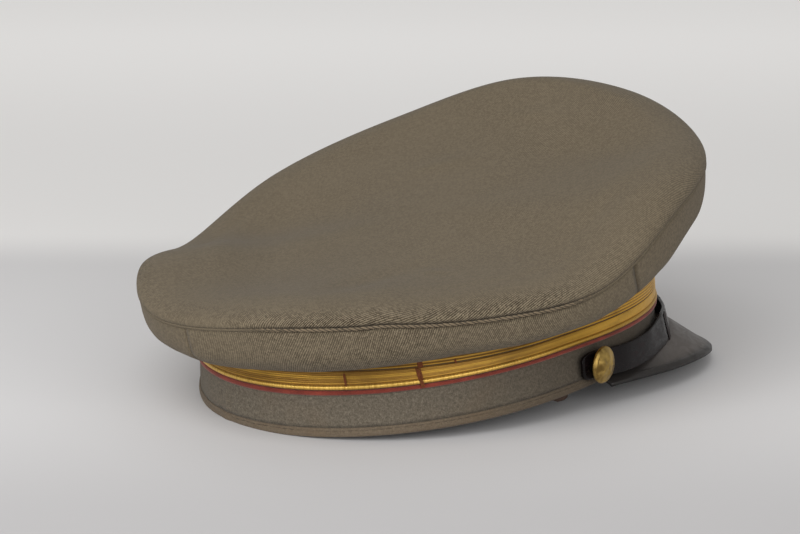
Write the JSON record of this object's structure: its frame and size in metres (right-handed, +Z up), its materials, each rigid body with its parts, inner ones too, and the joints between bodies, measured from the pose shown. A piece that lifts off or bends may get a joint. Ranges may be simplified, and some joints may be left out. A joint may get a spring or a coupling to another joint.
{
  "type": "peaked cap",
  "caption": "Soft-crowned peaked cap with a leaning twill crown, gold lace on the band, a black leather peak and a chin strap between side buttons.",
  "frame": {"origin": "centre of the bounding box, on the surface that the cap lies on", "axes": "+Z up, +Y to the rear of the cap (the peak points to -Y), -X to the wearer's right"},
  "size_m": [0.2194, 0.274, 0.1183],
  "materials": {
    "twill": "matt wool twill with fine diagonal ribs",
    "band_cloth": "matt felted wool",
    "gold_lace": "tarnished metal lace with lengthwise ribs",
    "red_piping": "matt cloth piping",
    "dark_piping": "matt cloth piping",
    "sweat_leather": "worn matt leather",
    "patent_leather": "glossy patent leather",
    "button_brass": "dull gilt brass"
  },
  "bodies": {
    "root": {"crown_top": "twill", "crown_side_front": "twill", "crown_side_right": "twill", "crown_side_left": "twill", "crown_welt": "twill", "band": "band_cloth", "band_hem": "band_cloth", "piping_red": "red_piping", "braid_lower": "gold_lace", "braid_upper": "gold_lace", "piping_top": "dark_piping", "sweatband": "sweat_leather", "peak": "patent_leather", "chin_strap": "patent_leather", "strap_keeper_right": "patent_leather", "strap_keeper_left": "patent_leather", "button_right": "button_brass", "button_left": "button_brass"}
  },
  "joints": []
}
